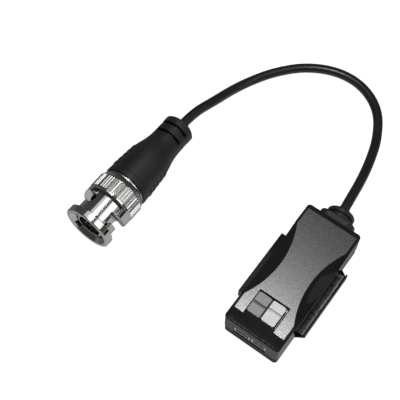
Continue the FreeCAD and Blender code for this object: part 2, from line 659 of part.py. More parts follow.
# Push buttons: a stepped cap with rounded corners, and a flange that holds it under the roof.
for name, x, share, flange_sides in (
        ("button_left", BUTTON_LEFT_X, BUTTON_STEP_SHARES[0], (BUTTON_FLANGE_OUT, 0)),
        ("button_right", BUTTON_RIGHT_X, BUTTON_STEP_SHARES[1], (0, BUTTON_FLANGE_OUT))):
    right = x + BUTTON_WIDTH
    far = BUTTON_NEAR_Y + BUTTON_LENGTH
    cap = block(x, right, BUTTON_NEAR_Y, far, BUTTON_FLANGE_BOTTOM, BUTTON_TOP)
    cap = cap.makeFillet(BUTTON_CORNER_RADIUS, upright_edges(cap))
    cap = cap.makeFillet(BUTTON_RIM_RADIUS, edges_at_height(cap, BUTTON_TOP))
    step_y = BUTTON_NEAR_Y + BUTTON_LENGTH * share
    over = BUTTON_TOP + TOLERANCE
    wedge = Part.Face(Part.makePolygon([
        V(x - WALL, step_y - BUTTON_STEP_NEAR, over),
        V(x - WALL, step_y + BUTTON_STEP_FOOT, BUTTON_TOP - BUTTON_STEP),
        V(x - WALL, step_y + BUTTON_STEP_FAR, over),
        V(x - WALL, step_y - BUTTON_STEP_NEAR, over)]))
    cap = cap.cut(wedge.extrude(V(BUTTON_WIDTH + 2 * WALL, 0, 0)))
    flange = block(x - flange_sides[0], right + flange_sides[1],
                   BUTTON_NEAR_Y - BUTTON_FLANGE_OUT, far + BUTTON_FLANGE_OUT,
                   BUTTON_FLANGE_BOTTOM, BUTTON_FLANGE_TOP)
    keep(name, cap.fuse(flange).removeSplitter())

# Terminal springs and contact strips.
spring_front = -HALF_LENGTH + SPRING_FRONT_MARGIN
spring_back = spring_front + SPRING_LENGTH
spring_low = ENTRY_FRAME_BOTTOM + SPRING_RISE
for name, (x, width) in zip(("left", "right"), ENTRIES):
    middle = x + width / 2
    leaf = [(spring_front, BUTTON_FLANGE_BOTTOM), (spring_back, BUTTON_FLANGE_BOTTOM),
            (spring_back, BUTTON_FLANGE_BOTTOM - SPRING_LEAF),
            (spring_front + 1.7 * SPRING_LEAF, BUTTON_FLANGE_BOTTOM - SPRING_LEAF),
            (spring_back - SPRING_LEAF, spring_low + SPRING_LEAF),
            (spring_back - SPRING_LEAF, spring_low),
            (spring_front + SPRING_LEAF / 3, BUTTON_FLANGE_BOTTOM - 1.2 * SPRING_LEAF)]
    leaf = [V(middle - SPRING_HALF_WIDTH, y, z) for y, z in leaf]
    spring = Part.Face(Part.makePolygon(leaf + [leaf[0]]))
    keep("clamp_spring_" + name, spring.extrude(V(2 * SPRING_HALF_WIDTH, 0, 0)))
    strip = block(middle - SPRING_HALF_WIDTH, middle + SPRING_HALF_WIDTH,
                  -HALF_LENGTH + STRIP_FRONT_MARGIN, -HALF_LENGTH + STRIP_BACK_MARGIN,
                  hole_bottom, hole_bottom + STRIP_THICKNESS)
    leg = block(middle - LEG_HALF_WIDTH, middle + LEG_HALF_WIDTH, leg_front, leg_back,
                BOARD_BOTTOM - LEG_BELOW_BOARD, hole_bottom + STRIP_THICKNESS / 2)
    keep("contact_strip_" + name, strip.fuse(leg).removeSplitter())

# Circuit board with clearance for the snap arms and holes for the legs.
board = block(-BOARD_HALF_WIDTH, BOARD_HALF_WIDTH, BOARD_NEAR_Y, BOARD_FAR_Y, BOARD_BOTTOM, BOARD_TOP)
for y in SNAP_POSITIONS:
    for side in (-1, 1):
        x = side * (INNER_HALF_WIDTH - SNAP_PLAY - SNAP_THICKNESS / 2)
        reach = SNAP_THICKNESS / 2 + BOARD_SNAP_GAP
        board = board.cut(block(x - reach, x + reach, y - SNAP_WIDTH / 2 - BOARD_SNAP_GAP,
                                y + SNAP_WIDTH / 2 + BOARD_SNAP_GAP, 0, HOUSING_HEIGHT))
for x, width in ENTRIES:
    board = board.cut(leg_slot(x + width / 2))
capacitor_legs = [CAPACITOR_X + side * CAPACITOR_LEG_PITCH / 2 for side in (-1, 1)]
leg_half = CAPACITOR_LEG_WIDTH / 2
leg_y = CAPACITOR_Y + CAPACITOR_THICKNESS / 2 - leg_half
for x in capacitor_legs:
    board = board.cut(block(x - leg_half - CAPACITOR_LEG_GAP, x + leg_half + CAPACITOR_LEG_GAP,
                            leg_y - CAPACITOR_LEG_GAP, leg_y + 2 * leg_half + CAPACITOR_LEG_GAP,
                            0, HOUSING_HEIGHT))
keep("circuit_board", board)

# Balun transformer: a ring core with a winding of separate turns.
core = tube(TOROID_OUTER / 2, TOROID_INNER / 2, 0, TOROID_HEIGHT)
core.translate(V(0, TOROID_Y, TOROID_BOTTOM))
keep("toroid_core", core)
turn_inner = TOROID_INNER / 2 - WIRE_GAP
turn_outer = TOROID_OUTER / 2 + WIRE_GAP
turn = block(turn_inner - WIRE_THICKNESS, turn_outer + WIRE_THICKNESS, -WIRE_THICKNESS / 2,
             WIRE_THICKNESS / 2, -WIRE_GAP - WIRE_THICKNESS,
             TOROID_HEIGHT + WIRE_GAP + WIRE_THICKNESS)
turn = turn.cut(block(turn_inner, turn_outer, -WIRE_THICKNESS, WIRE_THICKNESS, -WIRE_GAP,
                      TOROID_HEIGHT + WIRE_GAP))
turns = [about_axis(turn, 360.0 * (n + 0.5) / WIRE_TURNS) for n in range(WIRE_TURNS)]
winding = Part.makeCompound(turns)
winding.translate(V(0, TOROID_Y, TOROID_BOTTOM))
keep("winding", winding)

# Other parts on the board.
disc = Part.makeCylinder(CAPACITOR_RADIUS, CAPACITOR_THICKNESS, V(
    CAPACITOR_X, CAPACITOR_Y, BOARD_TOP + CAPACITOR_RAISE + CAPACITOR_RADIUS), V(0, 1, 0))
for x in capacitor_legs:
    disc = disc.fuse(block(x - leg_half, x + leg_half, leg_y, leg_y + 2 * leg_half,
                           BOARD_BOTTOM - LEG_BELOW_BOARD,
                           BOARD_TOP + CAPACITOR_RAISE + CAPACITOR_RADIUS))
keep("ceramic_capacitor", disc.removeSplitter())
chip_y = BOARD_FAR_Y - CHIP_FAR_MARGIN
chips = [block(x - CHIP_WIDTH / 2, x + CHIP_WIDTH / 2, chip_y - CHIP_LENGTH, chip_y, BOARD_TOP,
               BOARD_TOP + CHIP_HEIGHT) for x in CHIP_POSITIONS]
keep("chip_resistors", Part.makeCompound(chips))
suppressor_far = BOARD_FAR_Y - SUPPRESSOR_FAR_MARGIN
suppressor = block(SUPPRESSOR_LEFT, SUPPRESSOR_LEFT + SUPPRESSOR_WIDTH,
                   suppressor_far - SUPPRESSOR_LENGTH, suppressor_far, BOARD_TOP,
                   BOARD_TOP + SUPPRESSOR_HEIGHT)
keep("surge_suppressor", suppressor.makeChamfer(
    SUPPRESSOR_CHAMFER, edges_at_height(suppressor, BOARD_TOP + SUPPRESSOR_HEIGHT)))

# Cable bush: inner lug, neck through the wall, flange, and a leaning stem with waist,
# collar and nose.
bush = block(-BUSH_NECK_HALF_WIDTH, BUSH_NECK_HALF_WIDTH, BUSH_LUG_Y + BUSH_STEM_ROOT,
             HALF_LENGTH + BUSH_STEM_ROOT, CABLE_HEIGHT - BUSH_NECK_HALF_HEIGHT,
             CABLE_HEIGHT + BUSH_NECK_HALF_HEIGHT)
bush = bush.fuse(block(-BUSH_LUG_HALF_WIDTH, BUSH_LUG_HALF_WIDTH, BUSH_LUG_Y,
                       INNER_HALF_LENGTH - BUSH_FIT, CABLE_HEIGHT - BUSH_LUG_BELOW,
                       CABLE_HEIGHT + BUSH_LUG_ABOVE))
flange_depth = BUSH_FLANGE_DEPTH - BUSH_WALL_GAP
flange = rounded_block(BUSH_FLANGE_HALF_WIDTH, BUSH_FLANGE_HALF_HEIGHT, 0, flange_depth,
                       BUSH_FLANGE_CORNER)
flange = flange.makeFillet(BUSH_FLANGE_EDGE, edges_at_height(flange, flange_depth))
flange.translate(V(0, 0, HALF_LENGTH + BUSH_WALL_GAP))
bush = bush.fuse(along_bush(flange))
collar_start = BUSH_WAIST_LENGTH
collar_end = collar_start + BUSH_COLLAR_LENGTH
shoulder_end = collar_end + BUSH_SHOULDER_LENGTH
throat_end = shoulder_end + BUSH_THROAT_LENGTH
stem_root = -BUSH_STEM_ROOT
crown = Part.BSplineCurve()
crown.interpolate([V(BUSH_COLLAR_RADIUS, 0, collar_end), V(BUSH_SHOULDER_RADIUS, 0, shoulder_end),
                   V(BUSH_THROAT_RADIUS, 0, throat_end), V(BUSH_NOSE_RADIUS, 0, STEM_LENGTH)])
stem_points = [V(BUSH_NOSE_RADIUS, 0, STEM_LENGTH), V(0, 0, STEM_LENGTH), V(0, 0, stem_root),
               V(BUSH_WAIST_RADIUS, 0, stem_root), V(BUSH_WAIST_RADIUS, 0, collar_start),
               V(BUSH_COLLAR_RADIUS, 0, collar_start + BUSH_COLLAR_EDGE),
               V(BUSH_COLLAR_RADIUS, 0, collar_end)]
stem_edges = [Part.makeLine(a, b) for a, b in zip(stem_points, stem_points[1:])]
stem = Part.Face(Part.Wire([crown.toShape()] + stem_edges)).revolve(V(0, 0, 0), V(0, 0, 1), 360)
stem.translate(V(0, 0, BUSH_FLANGE_END))
stem = along_bush(stem)
stem.rotate(V(0, BUSH_FLANGE_END, CABLE_HEIGHT), V(0, 0, 1), BUSH_LEAN)
bush = bush.fuse(stem)
insulation_start = BUSH_LUG_Y - INSULATION_REACH
insulation_end = BUSH_FLANGE_END + BUSH_WAIST_LENGTH
insulation_length = insulation_end - insulation_start
bush = bush.cut(along_bush(Part.makeCylinder(INSULATION_RADIUS, insulation_length,
                                             V(0, 0, insulation_start))))
keep("cable_strain_relief", bush.removeSplitter())

# The stripped cable end inside the housing.
keep("inner_insulation", along_bush(tube(INSULATION_RADIUS, CONDUCTOR_RADIUS, insulation_start,
                                         insulation_end)))
tip_y = BUSH_LUG_Y - CONDUCTOR_REACH
straight = along_bush(Part.makeCylinder(CONDUCTOR_RADIUS, insulation_end - tip_y, V(0, 0, tip_y)))
drop = Part.makeCylinder(CONDUCTOR_RADIUS, CABLE_HEIGHT - BOARD_TOP, V(0, tip_y, BOARD_TOP))
knee = Part.makeSphere(CONDUCTOR_RADIUS, V(0, tip_y, CABLE_HEIGHT))
keep("core_conductor", straight.fuse(knee).fuse(drop).removeSplitter())
braid_start, braid_knee, braid_end = [
    V(x, BUSH_LUG_Y + behind, height) for (x, behind), height in (
        (BRAID_START, CABLE_HEIGHT), (BRAID_KNEE, CABLE_HEIGHT), (BRAID_END, BOARD_TOP))]
braid = rod(BRAID_RADIUS, braid_start, braid_knee)
braid = braid.fuse(Part.makeSphere(BRAID_RADIUS, braid_knee))
braid = braid.fuse(rod(BRAID_RADIUS, braid_knee, braid_end))
keep("braid_tail", braid.cut(block(-HALF_WIDTH, HALF_WIDTH, 0, HALF_LENGTH, 0, BOARD_TOP)))

# The cable: straight runs joined by tangent arcs.
def cable_wire(points):
    runs = [(b - a).Length for a, b in zip(points, points[1:])]
    edges = []
    radii = []
    at = points[0]
    for n in range(1, len(points) - 1):
        before = (points[n - 1] - points[n]).normalize()
        after = (points[n + 1] - points[n]).normalize()
        turn = math.pi - before.getAngle(after)
        cut = 0.45 * min(runs[n - 1], runs[n])
        radius = cut / math.tan(turn / 2)
        start = points[n] + before * cut
        end = points[n] + after * cut
        bisector = (before + after).normalize()
        centre_distance = radius / math.cos(turn / 2)
        middle = points[n] + bisector * (centre_distance - radius)
        edges.append(Part.LineSegment(at, start).toShape())
        edges.append(Part.Arc(start, middle, end).toShape())
        radii.append(radius)
        at = end
    edges.append(Part.LineSegment(at, points[-1]).toShape())
    return Part.Wire(edges), radii, runs


plug_exit = PLUG_FACE + PLUG_DIRECTION * BOOT_END
cable_points = [BUSH_NOSE, BUSH_NOSE + STEM_DIRECTION * CABLE_LEAD]
cable_points += [V(x, BUSH_NOSE.y + behind, height) for x, behind, height in CABLE_CORNERS]
cable_points += [plug_exit + PLUG_DIRECTION * CABLE_TAIL, plug_exit]
wire, radii, runs = cable_wire(cable_points)
section = Part.Wire([Part.makeCircle(CABLE_RADIUS, BUSH_NOSE, STEM_DIRECTION)])
cable = wire.makePipeShell([section], True, True)
print("cable points", [tuple(round(v, 3) for v in p) for p in cable_points])
print("cable runs", [round(r, 1) for r in runs])
print("cable radii", [round(r, 1) for r in radii])
print("cable length", round(wire.Length, 2), "section times length",
      round(math.pi * CABLE_RADIUS ** 2 * wire.Length, 2), "volume", round(cable.Volume, 2),
      "lowest", round(cable.BoundBox.ZMin, 3))
keep("coax_cable", cable)

# Boot of the plug.
profile = [V(r, 0, s) for s, r in BOOT_PROFILE]
curve = Part.BSplineCurve()
curve.interpolate(profile)
edges = [Part.makeLine(V(0, 0, profile[0].z), profile[0]), curve.toShape()]
rest = [profile[-1], V(BOOT_NECK_RADIUS, 0, BOOT_NECK_END), V(BOOT_NECK_RADIUS, 0, BOOT_FLANGE_START),
        V(BOOT_FLANGE_RADIUS, 0, BOOT_FLANGE_START + BOOT_EDGE), V(BOOT_FLANGE_RADIUS, 0, BOOT_FLANGE_END)]
edges += [Part.makeLine(a, b) for a, b in zip(rest, rest[1:])]
dome_middle = V(BOOT_DOME_RADIUS, 0, BOOT_FLANGE_END + BOOT_DOME_RISE)
exit_point = V(BOOT_EXIT_RADIUS, 0, BOOT_END)
edges.append(Part.Arc(rest[-1], dome_middle, exit_point).toShape())
edges.append(Part.makeLine(exit_point, V(0, 0, BOOT_END)))
edges.append(Part.makeLine(V(0, 0, BOOT_END), V(0, 0, profile[0].z)))
boot = Part.Face(Part.Wire(edges)).revolve(V(0, 0, 0), V(0, 0, 1), 360)
toward_top = -90.0 + BOOT_ROLL


def boot_radius(s):
    for (s0, r0), (s1, r1) in zip(BOOT_PROFILE, BOOT_PROFILE[1:]):
        if s0 <= s <= s1:
            return r0 + (r1 - r0) * (s - s0) / (s1 - s0)


def boot_skin(start, end, proud, from_angle, to_angle):
    # A band that follows the boot's profile and stands a little proud of it.
    stations = [start + (end - start) * n / 6 for n in range(7)]
    outer = [V(boot_radius(s) + proud, 0, s) for s in stations]
    inner = [V(boot_radius(s) - BOOT_SKIN_ROOT, 0, s) for s in stations]
    curve = Part.BSplineCurve()
    curve.interpolate(outer)
    edges = [curve.toShape(), Part.makeLine(outer[-1], inner[-1])]
    edges += [Part.makeLine(a, b) for a, b in zip(inner[::-1], inner[-2::-1])]
    edges.append(Part.makeLine(inner[0], outer[0]))
    band = Part.Face(Part.Wire(edges)).revolve(V(0, 0, 0), V(0, 0, 1), to_angle - from_angle)
    band.rotate(V(0, 0, 0), V(0, 0, 1), from_angle)
    return band


boot = boot.fuse(boot_skin(PANEL_START, PANEL_END, PANEL_PROUD, toward_top - PANEL_HALF_ANGLE,
                           toward_top + PANEL_HALF_ANGLE))
for side in (90, 270):
    for n in range(RIB_COUNT):
        at = RIB_START + n * RIB_PITCH
        boot = boot.fuse(boot_skin(at, at + RIB_WIDTH, RIB_PROUD, toward_top + side - RIB_HALF_ANGLE,
                                   toward_top + side + RIB_HALF_ANGLE))
for at in BOOT_SLOTS:
    for turn in (0, 180):
        slot = sector(BOOT_NECK_RADIUS - BOOT_SLOT_DEPTH, KNURL_RADIUS, at - BOOT_SLOT_WIDTH / 2,
                      at + BOOT_SLOT_WIDTH / 2, toward_top + turn - BOOT_SLOT_LEFT_ANGLE,
                      toward_top + turn + BOOT_SLOT_RIGHT_ANGLE)
        boot = boot.cut(slot)
boot = boot.cut(Part.makeCylinder(TAIL_RADIUS, TAIL_END - HUB_END, V(0, 0, HUB_END)))
boot = boot.cut(Part.makeCylinder(FERRULE_OUTER, FERRULE_END - FERRULE_START, V(0, 0, FERRULE_START)))
keep("plug_boot", along_plug(boot))

# Plug body: slit contact sleeve, flange, hub and tail in one turned piece.
body = turned((
    (SLEEVE_INNER, SLEEVE_START), (SLEEVE_OUTER - SLEEVE_EDGE, SLEEVE_START),
    (SLEEVE_OUTER, SLEEVE_START + 2 * SLEEVE_EDGE),
    (SLEEVE_OUTER, FLANGE_START), (FLANGE_RADIUS, FLANGE_START), (FLANGE_RADIUS, FLANGE_END),
    (HUB_RADIUS, FLANGE_END), (HUB_RADIUS, HUB_END), (TAIL_RADIUS, HUB_END), (TAIL_RADIUS, TAIL_END),
    (TAIL_BORE_RADIUS, TAIL_END), (TAIL_BORE_RADIUS, INSULATOR_END),
    (SLEEVE_INNER, INSULATOR_END)))
for n in range(SLEEVE_SLITS):
    slit = block(0, SLEEVE_OUTER + OVERCUT, -SLEEVE_SLIT_WIDTH / 2, SLEEVE_SLIT_WIDTH / 2, 0,
                 SLEEVE_SLIT_END)
    slit.rotate(V(0, 0, 0), V(0, 0, 1), 45 + 360.0 * n / SLEEVE_SLITS)
    body = body.cut(slit)
keep("plug_body", along_plug(body))
keep("plug_insulator", along_plug(tube(SLEEVE_INNER, PIN_ROOT_RADIUS, INSULATOR_START,
                                       INSULATOR_END)))
pin = turned((
    (0, PIN_START), (PIN_TIP_RADIUS, PIN_START), (PIN_RADIUS, PIN_START + PIN_TIP_LENGTH),
    (PIN_RADIUS, PIN_FREE_END),
    (PIN_ROOT_RADIUS, PIN_FREE_END), (PIN_ROOT_RADIUS, INSULATOR_END),
    (PIN_COLLAR_RADIUS, INSULATOR_END), (PIN_COLLAR_RADIUS, PIN_END), (0, PIN_END)))
keep("centre_pin", along_plug(pin))
keep("face_gasket", along_plug(tube(GASKET_RADIUS, SLEEVE_OUTER, FLANGE_START - GASKET_THICKNESS,
                                     FLANGE_START)))
ferrule = tube(FERRULE_OUTER, TAIL_RADIUS, FERRULE_START, TAIL_END)
ferrule = ferrule.fuse(tube(FERRULE_OUTER, FERRULE_NECK_RADIUS, TAIL_END, FERRULE_END))
keep("crimp_ferrule", along_plug(ferrule.removeSplitter()))
keep("retaining_ring", along_plug(turned((
    (HUB_RADIUS, RING_START), (RING_RADIUS - RING_EDGE, RING_START),
    (RING_RADIUS, RING_START + RING_EDGE),
    (RING_RADIUS, RING_END), (HUB_RADIUS, RING_END)))))

# Thrust washer and the wave washers that press on it.
washer_start = SHOULDER_START - SEAT_GAP - WASHER_THICKNESS
keep("thrust_washer", along_plug(tube(WASHER_OUTER, HUB_RADIUS + RUNNING_FIT, washer_start,
                                      washer_start + WASHER_THICKNESS)))
wave_start = FLANGE_END + SEAT_GAP
wave_pitch = (washer_start - SEAT_GAP - wave_start) / WAVE_COUNT
wave_inner = HUB_RADIUS + WAVE_INNER_GAP
wave_outer = WASHER_OUTER - WAVE_OUTER_GAP
waves = []
for n in range(WAVE_COUNT):
    low = wave_start + n * wave_pitch
    high = low + wave_pitch - SEAT_GAP
    waves.append(turned((
        (wave_inner, low), (wave_inner + WAVE_LAND, low), (wave_outer, high - WAVE_THICKNESS),
        (wave_outer, high), (wave_outer - WAVE_LAND, high), (wave_inner, low + WAVE_THICKNESS))))
keep("spring_washers", along_plug(Part.makeCompound(waves)))


# Bayonet coupling: ring, tube, ears, helical slots and knurled grip in one piece.
def slot_tool(entry_angle, from_sweep, to_sweep, front_offset):
    sections = []
    steps = 9
    for n in range(steps + 1):
        sweep = from_sweep + (to_sweep - from_sweep) * n / steps
        angle = math.radians(entry_angle + sweep)
        front = SLOT_START_FRONT + SLOT_ADVANCE_PER_DEGREE * sweep
        rear = front + SLOT_WIDTH
        front = front + front_offset
        c, s = math.cos(angle), math.sin(angle)
        near, far = COUPLING_BORE_RADIUS - OVERCUT, KNURL_RADIUS + OVERCUT
        sections.append(Part.makePolygon([
            V(near * c, near * s, front), V(far * c, far * s, front),
            V(far * c, far * s, rear), V(near * c, near * s, rear), V(near * c, near * s, front)]))
    return Part.makeLoft(sections, True, False)


def radial_hole(angle, position, diameter):
    hole = Part.makeCylinder(diameter / 2, KNURL_RADIUS - HUB_RADIUS, V(0, 0, HUB_RADIUS))
    hole.rotate(V(0, 0, 0), V(0, 0, 1), 20)
    hole.rotate(V(0, 0, 0), V(0, 1, 0), 90)
    hole.rotate(V(0, 0, 0), V(0, 0, 1), angle)
    hole.translate(V(0, 0, position))
    return hole


knurl_points = []
for n in range(KNURL_TEETH):
    for share, r in ((0.0, KNURL_ROOT_RADIUS), (0.32, KNURL_RADIUS), (0.68, KNURL_RADIUS)):
        a = 2 * math.pi * (n + share) / KNURL_TEETH
        knurl_points.append((r * math.cos(a), r * math.sin(a)))
grip = prism(knurl_points, KNURL_START, KNURL_END)
outer = turned((
    (0, 0), (FRONT_RING_RADIUS - COUPLING_EDGE, 0), (FRONT_RING_RADIUS, COUPLING_EDGE),
    (FRONT_RING_RADIUS, FRONT_RING_END - RING_EDGE), (FRONT_RING_RADIUS - RING_EDGE, FRONT_RING_END),
    (COUPLING_TUBE_RADIUS, FRONT_RING_END), (COUPLING_TUBE_RADIUS, GRIP_START),
    (COUPLING_RIM_RADIUS - COUPLING_EDGE, GRIP_START), (COUPLING_RIM_RADIUS, GRIP_START + COUPLING_EDGE),
    (COUPLING_RIM_RADIUS, KNURL_START), (0, KNURL_START)))
rear_rim = turned((
    (0, KNURL_END), (COUPLING_RIM_RADIUS, KNURL_END),
    (COUPLING_RIM_RADIUS, KNURL_END + COUPLING_EDGE),
    (COUPLING_REAR_RADIUS, COUPLING_END - COUPLING_EDGE),
    (COUPLING_REAR_RADIUS - COUPLING_EDGE, COUPLING_END), (0, COUPLING_END)))
nut = outer.fuse(grip).fuse(rear_rim)


ear = sector(COUPLING_TUBE_RADIUS - EAR_ROOT, FRONT_RING_RADIUS, EAR_FRONT, GRIP_START + EAR_GRIP_OVERLAP,
             ENTRY_SLOT_ANGLE + EAR_START, ENTRY_SLOT_ANGLE + EAR_END)
ear = ear.cut(slot_tool(ENTRY_SLOT_ANGLE, EAR_START - EAR_CUT_BEFORE, EAR_END + EAR_CUT_AFTER,
                        -EAR_CUT_FORWARD))
nut = nut.fuse(ear).fuse(about_axis(ear, 180))
nut = nut.cut(turned((
    (0, -OVERCUT), (COUPLING_MOUTH_RADIUS, -OVERCUT), (COUPLING_MOUTH_RADIUS, 0),
    (COUPLING_BORE_RADIUS, COUPLING_MOUTH_DEPTH), (COUPLING_BORE_RADIUS, SHOULDER_START),
    (HUB_RADIUS + RUNNING_FIT, SHOULDER_START), (HUB_RADIUS + RUNNING_FIT, COUPLING_END + OVERCUT),
    (0, COUPLING_END + OVERCUT))))

# The coupling is the same after half a turn, so one half takes the cuts.
half_space = block(-2 * KNURL_RADIUS, 2 * KNURL_RADIUS, 0, 2 * KNURL_RADIUS, -OVERCUT,
                   COUPLING_END + OVERCUT)
half = nut.common(about_axis(half_space, ENTRY_SLOT_ANGLE - HALF_CUT_ANGLE))
half = half.cut(slot_tool(ENTRY_SLOT_ANGLE, 0, SLOT_SWEEP, 0))
groove = block(0, ENTRY_GROOVE_RADIUS, -ENTRY_GROOVE_WIDTH / 2, ENTRY_GROOVE_WIDTH / 2, -OVERCUT,
               ENTRY_GROOVE_END)
half = half.cut(about_axis(groove, ENTRY_SLOT_ANGLE))
half = half.cut(sector(COUPLING_BORE_RADIUS - OVERCUT, FRONT_RING_RADIUS + OVERCUT,
                       FRONT_RING_END + ENTRY_COLUMN_MARGIN,
                       SLOT_START_FRONT + SLOT_WIDTH, ENTRY_SLOT_ANGLE - ENTRY_SLOT_HALF_ANGLE,
                       ENTRY_SLOT_ANGLE + ENTRY_SLOT_HALF_ANGLE))
half = half.cut(radial_hole(ENTRY_SLOT_ANGLE + SLOT_SWEEP, DETENT_POSITION, DETENT_DIAMETER))
nut = half.fuse(about_axis(half, 180))
keep("coupling_nut", along_plug(nut))
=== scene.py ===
import json
import math

import bpy
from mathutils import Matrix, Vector


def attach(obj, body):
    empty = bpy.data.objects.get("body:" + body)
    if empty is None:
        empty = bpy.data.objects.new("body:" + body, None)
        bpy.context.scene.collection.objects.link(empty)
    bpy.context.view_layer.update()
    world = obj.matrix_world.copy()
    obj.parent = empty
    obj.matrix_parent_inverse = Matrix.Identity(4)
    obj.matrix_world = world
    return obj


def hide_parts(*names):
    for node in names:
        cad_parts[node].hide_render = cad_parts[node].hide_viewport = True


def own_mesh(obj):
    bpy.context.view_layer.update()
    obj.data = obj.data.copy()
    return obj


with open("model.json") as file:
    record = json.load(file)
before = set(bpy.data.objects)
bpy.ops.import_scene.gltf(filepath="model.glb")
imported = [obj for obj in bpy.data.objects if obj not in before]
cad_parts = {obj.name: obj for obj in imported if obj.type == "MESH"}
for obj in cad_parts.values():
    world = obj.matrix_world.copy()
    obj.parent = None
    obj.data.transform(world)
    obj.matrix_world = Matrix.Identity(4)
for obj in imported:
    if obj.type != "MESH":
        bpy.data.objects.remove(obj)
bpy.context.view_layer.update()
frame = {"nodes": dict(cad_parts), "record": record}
NODES = frame["nodes"]
MM = 0.001

# The photograph's camera, in millimetres and degrees.
CAMERA_TARGET = (-35.677, 7.308, 0.0)
CAMERA_DISTANCE = 266.054
CAMERA_AZIMUTH = 36.176
CAMERA_ELEVATION = 63.816
CAMERA_FOCAL = 84.78
CAMERA_NEAR = 0.01
CAMERA_FAR = 10
SENSOR = 36.0

# The cable's route, the same corners as in the part's source, in millimetres.
CABLE_RADIUS = 1.4
CABLE_POINTS = (
    (-0.439, 26.477, 5.3), (-0.815, 30.057, 5.3), (-1.5, 36.877, 4.7), (-3.0, 44.577, 3.0),
    (-5.4, 53.077, 1.5), (-10.2, 61.477, 1.4), (-18.2, 66.077, 1.4), (-27.2, 66.077, 1.4),
    (-36.0, 61.677, 1.4), (-42.5, 54.577, 1.4), (-46.6, 47.577, 1.4), (-48.8, 40.877, 2.6),
    (-49.8, 34.177, 4.8), (-51.859, 26.009, 6.456), (-51.986, 20.812, 6.583),
)

# The directions the springs are pressed in.
UPWARD = (0, 0, 1)
PLUG_AXIS = (0.024425, 0.999403, -0.024432)

# The floor of the side channel in the lower cover's own coordinates, in millimetres.
CHANNEL_FLOOR_X = (8.35, 9.75)
CHANNEL_FLOOR_Y = (-9.2, 11.2)
CHANNEL_FLOOR_Z = (0.8, 1.1)
COVER_SPECULAR = 0.01
SPECKLE_SCALE = 1500.0

# The floor, in metres, lies just under the part.
FLOOR_SIZE = 3.0
FLOOR_HEIGHT = -0.00002
FLOOR_ROUGHNESS = 0.9
FLOOR_GLOW = 1.0

# Area lights: name, place, point aimed at, width and length, all in metres, and watts.
LIGHTS = (
    ("strip_wide", (-0.144, 0.133, 0.40), (-0.144, 0.133, 0.0), (0.248, 0.05), 0.048),
    ("strip_bright", (-0.079, 0.133, 0.399), (-0.079, 0.133, 0.0), (0.117, 0.05), 0.045),
    ("right_bank", (0.297, 0.14, 0.334), (-0.03, 0.01, 0.0), (0.13, 0.30), 0.31),
    ("overhead", (-0.03, 0.022, 0.24), (-0.03, 0.022, 0.0), (0.05, 0.05), 0.34),
)

# The room around: grey levels, and the parts of its directions over which they change.
SURROUND_LEFT = 0.19
SURROUND_RIGHT = 0.80
SURROUND_ABOVE = 0.10
SURROUND_ACROSS = (-0.4, 0.25)
SURROUND_HORIZON = (-0.12, 0.12)


def grey(value):
    return (value, value, value)


# Each look has two base colours that drift into each other. Patch and grain are the scales of
# the drift and of the fine grain, depth is the grain's height in metres, and edge is the radius
# in millimetres to which edges are softened.
RECIPES = {
    "housing_black": dict(dark=grey(0.012), light=grey(0.016), rough=0.05, grain=2600,
                          depth=0.000001, specular=0.05, edge=0.08),
    "plate_grey": dict(dark=grey(0.068), light=grey(0.092), rough=0.25, grain=3000,
                       depth=0.000015, metal=0.7, patch=3400, edge=0.12),
    "terminal_grey": dict(dark=grey(0.46), light=grey(0.54), rough=0.45, grain=3000,
                          depth=0.000006),
    "button_grey": dict(dark=grey(0.165), light=grey(0.20), rough=0.42, grain=2600,
                        depth=0.000006, patch=500),
    "button_white": dict(dark=grey(0.58), light=grey(0.64), rough=0.40, grain=2600,
                         depth=0.000005, patch=500),
    "spring_steel": dict(dark=grey(0.42), light=grey(0.52), rough=0.28, grain=2200,
                         depth=0.000003, metal=1.0),
    "tinned_copper": dict(dark=(0.60, 0.58, 0.54), light=(0.7, 0.68, 0.64), rough=0.3,
                          grain=2500, depth=0.000004, metal=1.0),
    "board_green": dict(dark=(0.01, 0.08, 0.03), light=(0.014, 0.11, 0.04), rough=0.35,
                        grain=2500, depth=0.000004),
    "ferrite": dict(dark=grey(0.05), light=grey(0.075), rough=0.7, grain=3500, depth=0.00001),
    "enamel_wire": dict(dark=(0.45, 0.14, 0.04), light=(0.6, 0.22, 0.07), rough=0.22,
                        grain=1500, depth=0.000002, metal=0.85),
    "ceramic_tan": dict(dark=(0.5, 0.27, 0.08), light=(0.58, 0.33, 0.11), rough=0.4,
                        grain=2500, depth=0.000006),
    "chip_black": dict(dark=grey(0.02), light=grey(0.03), rough=0.5, grain=3500,
                       depth=0.000005),
    "bush_black": dict(dark=grey(0.010), light=grey(0.016), rough=0.40, grain=2600,
                       depth=0.000006, specular=0.35),
    "cable_black": dict(dark=grey(0.010), light=grey(0.015), rough=0.30, grain=1800,
                        depth=0.000004, specular=0.3),
    "boot_black": dict(dark=grey(0.008), light=grey(0.014), rough=0.48, grain=3600,
                       depth=0.00001, specular=0.3),
    "nickel": dict(dark=(0.37, 0.366, 0.358), light=(0.45, 0.445, 0.437), rough=0.12,
                   grain=2400, depth=0.0000015, metal=1.0, edge=0.12),
    "insulator_white": dict(dark=grey(0.72), light=grey(0.8), rough=0.35, grain=2500,
                            depth=0.000004),
    # gold_pin: a dull, darkened brass, painted shade for the dark inside of the plug where the
    # pin sits.
    "gold_pin": dict(dark=(0.17, 0.12, 0.05), light=(0.21, 0.15, 0.06), rough=0.22,
                     grain=2400, depth=0.000002, metal=1.0),
    "gasket_red": dict(dark=(0.06, 0.01, 0.008), light=(0.08, 0.014, 0.01), rough=0.6,
                       grain=3000, depth=0.00001),
}


# Materials.

